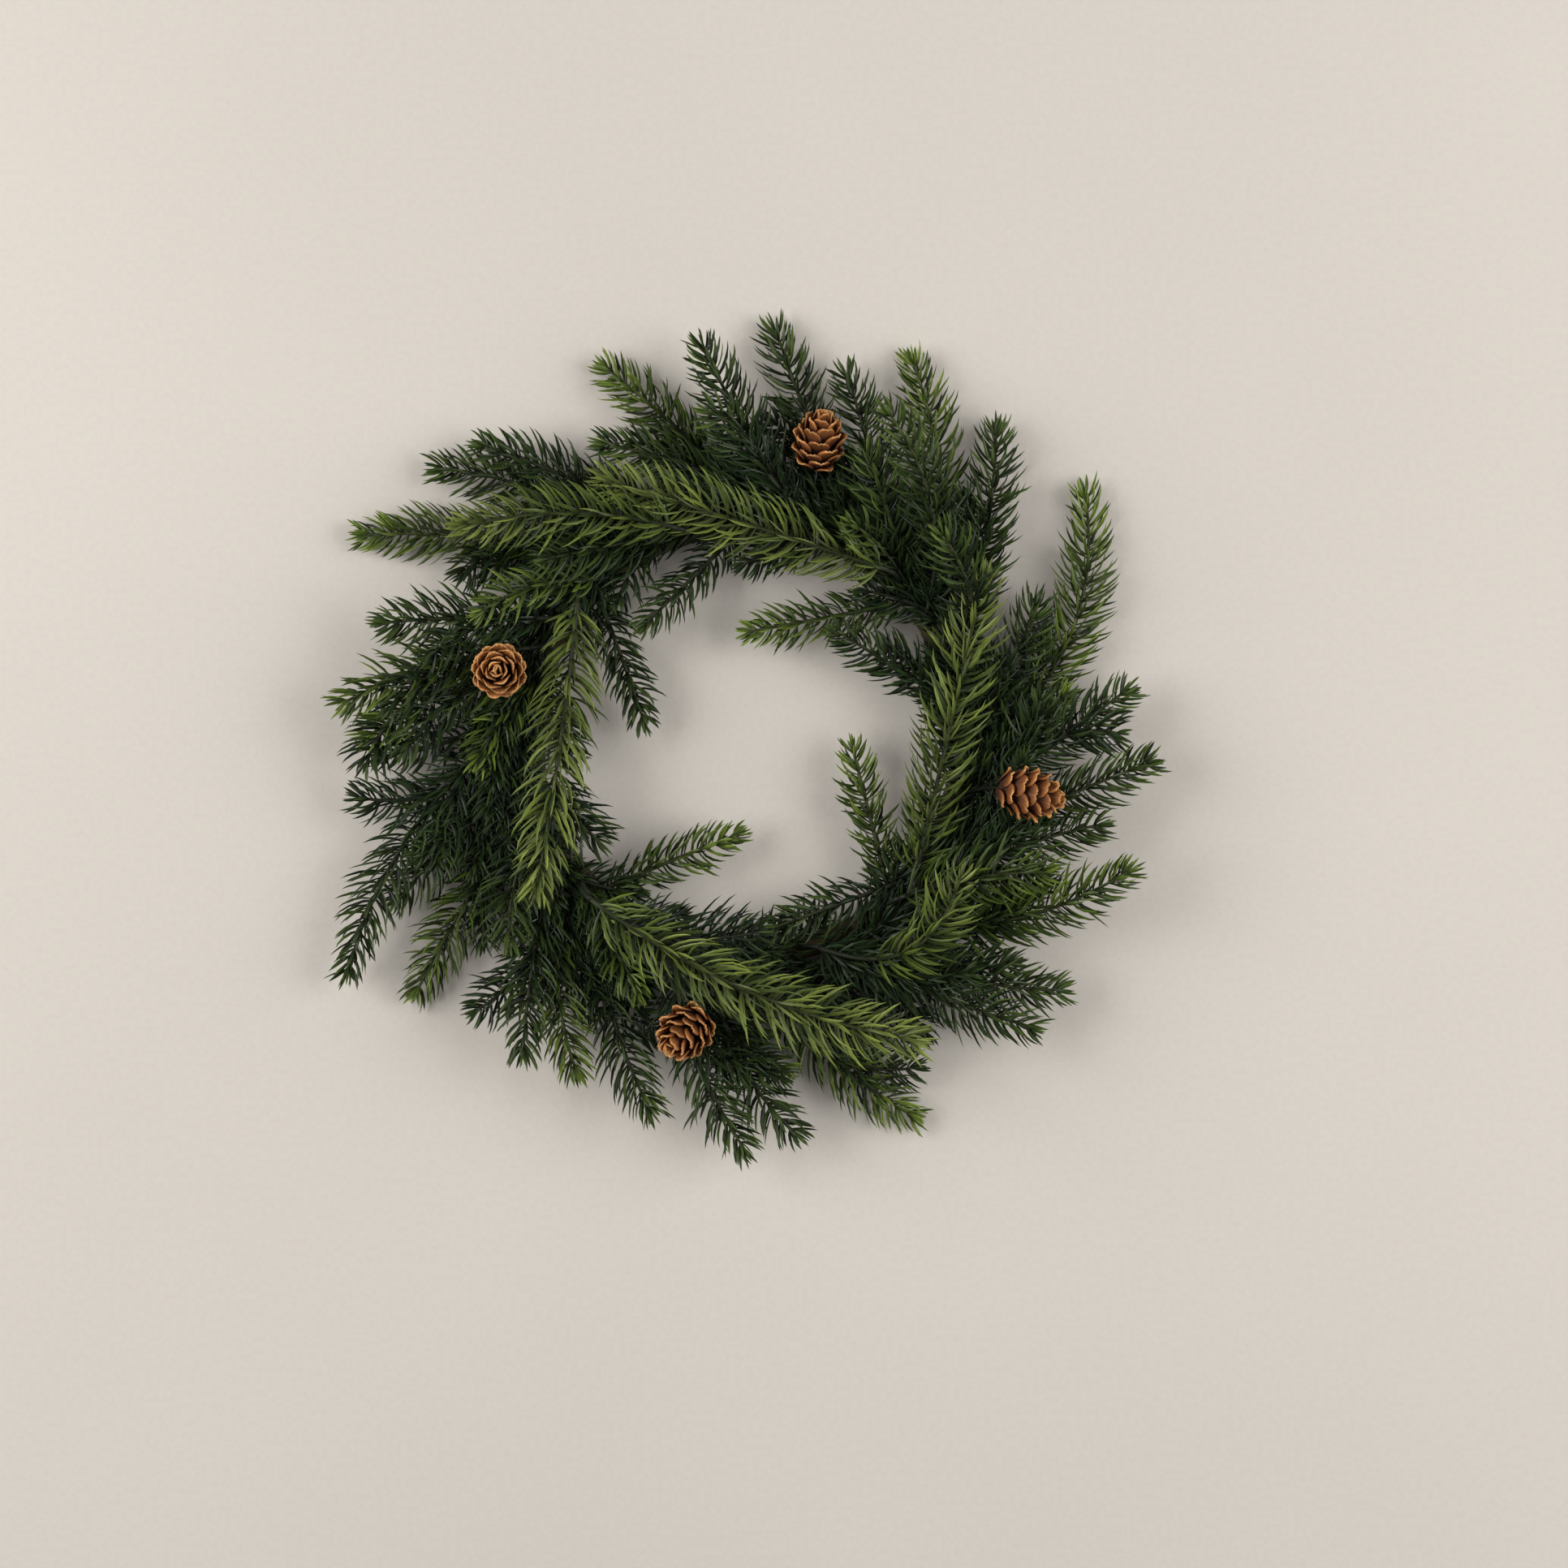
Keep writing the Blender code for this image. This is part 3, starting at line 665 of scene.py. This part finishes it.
class Spine:
    """The path of a CAD sprig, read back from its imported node.

    Each station of the comb has a point above and a point below the spine, so
    pairs that share x and y give the path and its thickness. The thicker end is
    the tip. A bow, largest halfway, bends the straight line between the ends.
    """

    same_place = 0.02
    inner_from = 0.1
    inner_to = 0.9

    def __init__(self, name):
        points = node_points(name)
        plan = np.round(points[:, :2] / self.same_place).astype(int)
        pairs = {}
        for key, point in zip(map(tuple, plan), points):
            pairs.setdefault(key, []).append(point)
        stations = []
        for held in pairs.values():
            if len(held) == 2:
                held = np.array(held)
                stations.append((*held.mean(0), abs(held[0, 2] - held[1, 2]) / 2))
        stations = np.array(stations)
        gaps = np.linalg.norm(stations[:, None, :2] - stations[None, :, :2], axis=2)
        one, two = np.unravel_index(np.argmax(gaps), gaps.shape)
        if stations[one, 3] > stations[two, 3]:
            one, two = two, one
        self.root = stations[one, :3]
        chord = stations[two, :3] - self.root
        flat = chord[:2] / np.dot(chord[:2], chord[:2])
        share = (stations[:, :2] - self.root[:2]) @ flat
        inner = (share > self.inner_from) & (share < self.inner_to)
        off = stations[inner, :3] - self.root - share[inner, None] * chord
        self.bow = (off / (4 * share[inner] * (1 - share[inner]))[:, None]).mean(0)
        self.chord = chord
        self.length = float(np.linalg.norm(chord))
        spots = self.at(np.linspace(0, 1, 60))
        away = np.linalg.norm(points[:, None, :2] - spots[None, :, :2], axis=2).min(1)
        self.reach = float(away.max())

    def at(self, t):
        t = np.asarray(t, float)[..., None]
        return self.root + t * self.chord + 4 * t * (1 - t) * self.bow

    def ahead(self, t):
        t = np.asarray(t, float)[..., None]
        return unit(self.chord + 4 * (1 - 2 * t) * self.bow)


class Shoot:
    """A side shoot: a start, a flat heading, a length, a rise and a bend."""

    at = Spine.at
    ahead = Spine.ahead

    def __init__(self, start, heading_deg, length, rise, bend, reach):
        heading = math.radians(heading_deg)
        flat = np.array([math.cos(heading), math.sin(heading), 0.0])
        self.root = np.array(start, float)
        self.chord = flat * length + UP * rise
        self.bow = bend * length * np.array([flat[1], -flat[0], 0.0])
        self.length = length
        self.reach = reach


def fork(parent, share, length, turn, rise):
    """A shoot that leaves its parent at a share of the parent's length."""
    ahead = parent.ahead(share)
    heading = math.degrees(math.atan2(ahead[1], ahead[0])) + turn
    bend = math.copysign(FORK_BEND, turn)
    return Shoot(parent.at(share), heading, length, rise, bend, parent.reach * FORK_REACH)


def mantle(parent, lean, rng):
    """A shoot along the hoop that hides its winding, leaning inward by an angle."""
    angle = math.degrees(math.atan2(parent.root[1], parent.root[0]))
    start = parent.root * (1.0, 1.0, 0.0)
    start[2] = MANTLE_HEIGHT + rng.uniform(*MANTLE_LIFTS)
    heading = angle + 90.0 + lean
    rise = rng.uniform(*MANTLE_RISES)
    return Shoot(start, heading, MANTLE_LENGTH, rise, MANTLE_BEND, MANTLE_REACH)


def lead_stem(bundle, spine):
    """The end of the sprig's wire, from under the tape up to the first needles."""
    radius = np.hypot(spine.root[0], spine.root[1])
    angle = math.atan2(spine.root[1], spine.root[0]) - LEAD_MM / radius
    start = np.array([HOOP_RADIUS * math.cos(angle), HOOP_RADIUS * math.sin(angle), TAPE_RADIUS])
    bend = spine.root - spine.ahead(0.0) * LEAD_MM * 0.5
    path = curve(start, bend, spine.root, LEAD_STATIONS)
    path[:, 2] = np.maximum(path[:, 2], STEM_RADIUS + 0.2)
    points, quads, tris = tube(path, STEM_RADIUS, STEM_SIDES)
    bundle.add(points, quads, tris, slot=STEM)


def add_stem(bundle, spine, old, fresh):
    """A shoot's tapering stem, greener towards its tip."""
    t = np.linspace(0.0, 1.0, STEM_STATIONS)
    points, quads, tris = tube(spine.at(t), STEM_RADIUS * (1.0 - STEM_TAPER * t), STEM_SIDES)
    green = np.repeat(0.6 * old + 0.7 * (fresh - old) * t, STEM_SIDES)
    green = np.append(green, (green[0], green[-1]))
    bundle.add(points, quads, tris, slot=STEM, luck=0.5, youth=green)


def round_stem(ahead):
    """Directions to the right of the stem and above it."""
    right = unit(np.cross(ahead, UP))
    return right, np.cross(right, ahead)


def rank_needles(bundle, rng, spine, rank, side, bare, old, fresh, slot):
    """One rank of needles on one side of the stem."""
    tilt_up, density, share, first, last, luck = rank
    count = max(3, int(spine.length * (1.0 - bare) * density))
    u = (np.arange(count) + rng.uniform(0.15, 0.85, count)) / count
    t = bare + (1.0 - bare) * u
    ahead = spine.ahead(t)
    right, above = round_stem(ahead)
    tilt = np.radians(tilt_up + rng.normal(0.0, TILT_SPREAD, count))[:, None]
    outward = side * np.cos(tilt) * right + np.sin(tilt) * above
    narrow = np.clip(u - NARROW_FROM, 0, 1) / (1.0 - NARROW_FROM)
    grown = FOOT_LENGTH + (1.0 - FOOT_LENGTH) * np.minimum(u * 4, 1.0)
    shape = grown * (1.0 - NARROW_LENGTH * narrow)
    full = spine.reach * NEEDLE_LONG
    lengths = full * share * shape * rng.normal(1.0, LENGTH_SPREAD, count)
    lean = 1.0 - NARROW_LEAN * narrow
    first = (first + rng.normal(0.0, FIRST_SPREAD, count)) * lean
    last = (last + rng.normal(0.0, LAST_SPREAD, count)) * lean
    youth = old + (fresh - old) * u**YOUTH_POWER + rng.normal(0, YOUTH_SPREAD, count)
    youth = np.clip(youth, 0, 1)
    roots = spine.at(t) + outward * ROOT_OUT
    add_needles(bundle, rng, roots, ahead, outward, lengths, first, last, youth, luck, slot)


def tip_needles(bundle, rng, spine, fresh, slot):
    """The tuft at the end of a shoot."""
    count = TIP_NEEDLES
    ahead = np.repeat(spine.ahead(np.array([1.0])), count, axis=0)
    right, above = round_stem(ahead)
    spin = rng.random(count)[:, None] * 2 * np.pi
    outward = unit(np.cos(spin) * right + 0.7 * np.sin(spin) * above)
    back = 0.03 * spine.length * rng.random(count)[:, None]
    roots = spine.at(np.ones(count)) - ahead * back
    lengths = spine.reach * NEEDLE_LONG * rng.uniform(*TIP_LENGTHS, count)
    first = rng.uniform(*TIP_FIRST, count)
    last = rng.uniform(*TIP_LAST, count)
    youth = np.clip(fresh + rng.normal(0, YOUTH_SPREAD, count), 0, 1)
    add_needles(bundle, rng, roots, ahead, outward, lengths, first, last, youth, TIP_LUCK, slot)


def grow(bundle, rng, spine, old, fresh, slot, bare=BARE_SHARE):
    """Stem and needles of one shoot; old and fresh tint its root and its tip."""
    add_stem(bundle, spine, old, fresh)
    for rank in RANKS:
        for side in (1.0, -1.0):
            rank_needles(bundle, rng, spine, rank, side, bare, old, fresh, slot)
    tip_needles(bundle, rng, spine, fresh, slot)


def sprig_slots():
    """Each sprig's material slot, from the record."""
    slots = {row["node"]: row["material_slot"] for row in frame["record"]["subparts"]}
    return {n: s for n, s in slots.items() if n.startswith("sprig_")}


def add_side_shoots(bundle, rng, spine, name):
    for parent, share, length, turn, rise, tip in SHOOTS:
        if parent == name:
            grow(bundle, rng, fork(spine, share, length, turn, rise), 0.0, tip, DARK)


def add_cover(bundle, rng, spine, name, index):
    """The dark shoots that thicken the greenery next to the hoop."""
    leans = [OUTER_LEAN]
    if "low" in name or name in INNER_MANTLES:
        leans.append(MANTLE_LEANS[index % 2])
    for lean in leans:
        grow(bundle, rng, mantle(spine, lean, rng), 0.0, MANTLE_YOUTH, DARK)
    if "low" in name:
        turn = rng.uniform(*FILL_TURNS)
        share = rng.uniform(*FILL_SHARES)
        length = rng.uniform(*FILL_LENGTHS)
        filler = fork(spine, share, length, turn, FILL_RISE)
        grow(bundle, rng, filler, 0.0, FILL_YOUTH, DARK)


def make_sprig(index, name, slot, palettes, stem_look):
    rng = np.random.default_rng(SEED + index)
    spine = Spine(name)
    bundle = Bundle()
    old, fresh = YOUTH[slot]
    fresh = fresh * rng.uniform(*YOUTH_PLAY)
    tone = slot
    if slot == "needles_light" and "top" not in name:
        tone = "needles_mid"
    if name in TONES:
        tone, old, fresh = TONES[name]
    lead_stem(bundle, spine)
    grow(bundle, rng, spine, old, fresh, OWN, BARE.get(name, BARE_SHARE))
    add_side_shoots(bundle, rng, spine, name)
    add_cover(bundle, rng, spine, name, index)
    materials = [palettes[tone], stem_look, palettes["needles_dark"]]
    piece = bundle.build(name.replace("sprig", "spruce"), materials)
    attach(piece, "root")
    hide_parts(name)


def make_sprigs():
    palettes = {}
    for slot, (name, *colours) in PALETTES.items():
        palettes[slot] = needle_material(name, *[srgb(*colour) for colour in colours])
    stem_look = stem_material()
    for index, (name, slot) in enumerate(sorted(sprig_slots().items())):
        make_sprig(index, name, slot, palettes, stem_look)


# ------------------------------------------------------------------- cones

# The cone, its number of scales, each one a golden turn on from the last, and the
# core between them: its share of the length, radius and mesh.
CONE_LENGTH = 25.0
CONE_RADIUS = 10.7
CONE_SCALES = 38
GOLDEN_TURN = math.pi * (3.0 - math.sqrt(5.0))
CORE_SHARE = 0.90
CORE_RADIUS = 4.4
CORE_SIDES = 12
CORE_STATIONS = 12

# How the CAD's cone is read: lobes of its last tier, and points at its wire's end.
TIER_LOBES = 6
WIRE_POINTS = 8

# The cone's wire: its radius and mesh, how far it dips, how far behind the cone's
# base its bend is and how far it reaches into the cone.
CONE_WIRE = 0.75
WIRE_STATIONS = 18
WIRE_SIDES = 8
WIRE_DIP = 8.0
WIRE_BACK = 5.0
WIRE_INSIDE = 2.0

# Scales, how they differ, and the grid of points on each.
SCALE_THICK = 0.6
SCALE_WIDTH = 8.8
SCALE_LENGTH = 9.2
SCALE_WIDTH_SPREAD = 0.05
SCALE_LENGTH_SPREAD = 0.04
SCALE_ROWS = 8
SCALE_COLUMNS = 11

# Feet of the scales: their climb along the axis, the drop of the first one behind
# the base, and how deep they sit under the cone's outline.
FOOT_CLIMB = 21.0
FOOT_DROP = 1.5
FOOT_SINK = 1.6

# Angle of a scale to the axis: at the apex, how much more at the base, how it
# falls off between them, and its spread.
LIFT_APEX = -3.0
LIFT_MORE = 52.0
LIFT_FALL = 1.35
LIFT_SPREAD = 3.0

# Arches, for the measures that swell and shrink from the base to the apex: where
# on a half-wave they start, how much of it they cover, and a power.
CORE_ARCH = (0.16, 0.74, 0.7)
WIDTH_ARCH = (0.24, 0.64, 0.7)
LENGTH_ARCH = (0.30, 0.50, 0.5)
BELLY_ARCH = (0.30, 0.69, 0.8)


class ConeFrame:
    """Apex, axis, base and wire root of a CAD cone.

    The apex is the only point whose nearest neighbours, the lobes of the last
    tier, are all equally far away, and their middle is on the axis.
    """

    def __init__(self, name):
        points = node_points(name)
        gaps = np.linalg.norm(points[:, None] - points[None], axis=2)
        nearest = np.sort(gaps, axis=1)[:, 1 : TIER_LOBES + 1]
        at = int(np.argmin(nearest[:, -1] - nearest[:, 0]))
        self.apex = points[at]
        lobes = points[np.argsort(gaps[at])[1 : TIER_LOBES + 1]]
        self.axis = unit(self.apex - lobes.mean(0))
        self.base = self.apex - self.axis * CONE_LENGTH
        far = np.argsort(-gaps[at])[:WIRE_POINTS]
        self.root = points[far].mean(0)


def scale_mesh(width, length, rng):
    """One scale in its own frame: x across, y towards its rim, z outward.

    It widens from its foot and rounds off at a wavy, notched rim. It is cupped
    across, with fine ridges, and its rim curls outward.
    """
    phase = rng.uniform(0, 2 * np.pi, 2)
    row, col = np.meshgrid(
        np.linspace(0.0, 1.0, SCALE_ROWS),
        np.linspace(-1.0, 1.0, SCALE_COLUMNS),
        indexing="ij",
    )
    swell = 0.42 + 0.58 * np.sin(np.pi / 2 * np.minimum(row / 0.6, 1.0))
    span = width / 2 * swell * np.sqrt(1.0 - 0.78 * (np.maximum(row - 0.55, 0.0) / 0.45) ** 2)
    rim = row**4
    wave = 0.016 * np.sin(7 * col + phase[0]) + 0.008 * np.sin(13 * col + phase[1])
    notch = 0.07 * np.exp(-((col / 0.25) ** 2))
    y = length * (row - 0.07 * col**2 * row**2 + rim * (wave - notch))
    crown = 0.11 * width * (1.0 - col**2) * (0.3 + 0.7 * row)
    ridge = 0.018 * width * np.cos(3 * np.pi * col) * row
    curl = 0.10 * length * (np.maximum(row - 0.65, 0.0) / 0.35) ** 2
    return np.stack([span * col, y, crown + ridge + curl], axis=2).reshape(-1, 3)


def slab_faces():
    """Faces of a scale: its outside, its back and the band round its rim."""
    rows, columns = SCALE_ROWS, SCALE_COLUMNS
    count = rows * columns
    quads = []
    for r in range(rows - 1):
        for c in range(columns - 1):
            a = r * columns + c
            b = a + columns
            quads.append((a, a + 1, b + 1, b))
            quads.append((count + a, count + b, count + b + 1, count + a + 1))
    rim = list(range(columns))
    rim += [r * columns + columns - 1 for r in range(1, rows)]
    rim += [(rows - 1) * columns + c for c in range(columns - 2, -1, -1)]
    rim += [r * columns for r in range(rows - 2, 0, -1)]
    for a, b in zip(rim, rim[1:] + rim[:1]):
        quads.append((b, a, count + a, count + b))
    return np.array(quads)


SLAB_QUADS = slab_faces()
SLAB_ALONG = np.tile(np.repeat(np.linspace(0.0, 1.0, SCALE_ROWS), SCALE_COLUMNS), 2)
SLAB_ACROSS = np.tile(np.linspace(0.0, 1.0, SCALE_COLUMNS), 2 * SCALE_ROWS)


def arch(share, start, run, power):
    """Height of part of a half-wave, raised to a power."""
    return np.sin(np.pi * (start + run * share)) ** power


def add_scale(bundle, rng, cone, out, share):
    """One scale: out is its direction from the axis, share its place along it."""
    width = SCALE_WIDTH * arch(share, *WIDTH_ARCH)
    length = SCALE_LENGTH * arch(share, *LENGTH_ARCH)
    more = LIFT_MORE * (1.0 - share) ** LIFT_FALL
    lift = math.radians(LIFT_APEX + more + rng.normal(0.0, LIFT_SPREAD))
    belly = CONE_RADIUS * arch(share, *BELLY_ARCH)
    foot = belly - length * math.sin(lift) - FOOT_SINK * math.cos(lift)
    start = cone.base + cone.axis * (FOOT_CLIMB * share - FOOT_DROP) + out * foot
    toward = out * math.sin(lift) + cone.axis * math.cos(lift)
    outward = out * math.cos(lift) - cone.axis * math.sin(lift)
    across = np.cross(toward, outward)
    width = width * rng.normal(1.0, SCALE_WIDTH_SPREAD)
    length = length * rng.normal(1.0, SCALE_LENGTH_SPREAD)
    local = scale_mesh(width, length, rng)
    face = start + local[:, :1] * across + local[:, 1:2] * toward + local[:, 2:] * outward
    points = np.vstack([face, face - outward * SCALE_THICK])
    bundle.add(points, SLAB_QUADS, [], along=SLAB_ALONG, luck=rng.random(), youth=SLAB_ACROSS)


def make_cone(name, material, wire):
    """Core, spiral of scales and wire of one cone."""
    cone = ConeFrame(name)
    rng = np.random.default_rng(SEED + len(name))
    helper = UP if abs(cone.axis[2]) < 0.9 else np.array([1.0, 0.0, 0.0])
    one = unit(np.cross(helper, cone.axis))
    two = np.cross(cone.axis, one)
    bundle = Bundle()
    t = np.linspace(0.0, 1.0, CORE_STATIONS)
    core = cone.base + cone.axis * CONE_LENGTH * CORE_SHARE * t[:, None]
    points, quads, tris = tube(core, CORE_RADIUS * arch(t, *CORE_ARCH), CORE_SIDES)
    bundle.add(points, quads, tris, along=0.4, luck=0.3)
    for k in range(CONE_SCALES):
        spin = k * GOLDEN_TURN
        out = math.cos(spin) * one + math.sin(spin) * two
        add_scale(bundle, rng, cone, out, k / (CONE_SCALES - 1))
    elbow = cone.base - cone.axis * WIRE_BACK - UP * WIRE_DIP
    path = curve(cone.root, elbow, cone.base + cone.axis * WIRE_INSIDE, WIRE_STATIONS)
    points, quads, tris = tube(path, CONE_WIRE, WIRE_SIDES)
    bundle.add(points, quads, tris, slot=1)
    piece = bundle.build("larch_" + name, [material, wire])
    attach(piece, "root")
    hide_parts(name)


# -------------------------------------------------------------------- hoop

# The winding: its mesh, how far it stays inside the CAD's tape, and the height of
# the step at each turn.
TAPE_STEPS = 300
TAPE_SIDES = 28
TAPE_SLACK = 0.75
TAPE_STEP = 0.42


def make_tape(name, material):
    """The winding: a tube round the hoop with a step at each turn of tape."""
    low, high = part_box(name)
    points = node_points(name)
    angles = np.degrees(np.arctan2(points[:, 1], points[:, 0]))
    middle = math.degrees(math.atan2((low.y + high.y) / 2, (low.x + high.x) / 2))
    spread = (angles - middle + 180.0) % 360.0 - 180.0
    start = middle + spread.min()
    end = middle + spread.max()
    rng = np.random.default_rng(SEED)
    turn = np.radians(np.linspace(start, end, TAPE_STEPS))[:, None]
    around = np.linspace(0.0, 2 * np.pi, TAPE_SIDES, endpoint=False)[None, :]
    helix = (np.degrees(turn) / WRAP_PITCH_DEG + around / (2 * np.pi)) % 1.0
    lumps = 0.22 * np.sin(3 * around + 11 * turn) + 0.18 * np.sin(2 * around - 23 * turn)
    radius = TAPE_RADIUS - TAPE_SLACK + TAPE_STEP * helix + lumps
    radius = radius + rng.normal(0.0, 0.03, radius.shape)
    side = radius * np.cos(around)
    up = np.maximum(TAPE_RADIUS + radius * np.sin(around), 0.05)
    ring = np.stack(
        [(HOOP_RADIUS + side) * np.cos(turn), (HOOP_RADIUS + side) * np.sin(turn), up],
        axis=2,
    )
    points = np.vstack([ring.reshape(-1, 3), ring[0].mean(0), ring[-1].mean(0)])
    quads, tris = tube_faces(TAPE_STEPS, TAPE_SIDES, flip=True)
    bundle = Bundle()
    bundle.add(points, quads, tris, along=0.5, luck=0.5)
    piece = bundle.build(name.replace("tape_wrap", "tape_winding"), [material])
    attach(piece, "root")
    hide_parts(name)


def dress_hoop(material):
    """The hoop's wire keeps its CAD mesh."""
    hoop = nodes["hoop"]
    for slot in hoop.material_slots:
        slot.material = material


# ------------------------------------------------------- floor, light, camera


def make_floor():
    corners = [(x * FLOOR_HALF, y * FLOOR_HALF, 0) for x, y in ((-1, -1), (1, -1), (1, 1), (-1, 1))]
    mesh = bpy.data.meshes.new("floor")
    mesh.from_pydata(corners, [], [(0, 1, 2, 3)])
    mesh.materials.append(floor_material())
    floor = bpy.data.objects.new("floor", mesh)
    bpy.context.scene.collection.objects.link(floor)


def make_light(name, place, watts):
    data = bpy.data.lights.new(name, "AREA")
    data.shape = "RECTANGLE"
    data.size = LIGHT_SIZE
    data.size_y = LIGHT_SIZE
    data.energy = watts
    data.color = LIGHT_COLOUR
    lamp = bpy.data.objects.new(name, data)
    lamp.location = place
    lamp.rotation_euler = Vector(place).to_track_quat("Z", "Y").to_euler()
    bpy.context.scene.collection.objects.link(lamp)


def make_world():
    world = bpy.data.worlds.new("studio")
    world.use_nodes = True
    sky = world.node_tree.nodes["Background"]
    sky.inputs["Color"].default_value = (*LIGHT_COLOUR, 1.0)
    sky.inputs["Strength"].default_value = SKY_STRENGTH
    bpy.context.scene.world = world


def make_camera():
    """A camera that looks straight down, with +Y up in its picture."""
    data = bpy.data.cameras.new("camera")
    data.lens = LENS
    data.sensor_width = SENSOR
    camera = bpy.data.objects.new("camera", data)
    x, y = VIEW_MIDDLE
    height = MIDDLE_HEIGHT + VIEW_WIDTH * LENS / SENSOR
    camera.location = (x * MM, y * MM, height * MM)
    bpy.context.scene.collection.objects.link(camera)
    bpy.context.scene.camera = camera


def main():
    make_camera()
    make_world()
    make_floor()
    for name, place, watts in LIGHTS:
        make_light(name, place, watts)
    make_sprigs()
    wire = wire_material()
    scales = scale_material()
    for name in sorted(n for n in nodes if n.startswith("cone_")):
        make_cone(name, scales, wire)
    tape = tape_material()
    for name in sorted(n for n in nodes if n.startswith("tape_wrap")):
        make_tape(name, tape)
    dress_hoop(wire)
    bpy.context.scene.view_settings.view_transform = "Standard"


main()
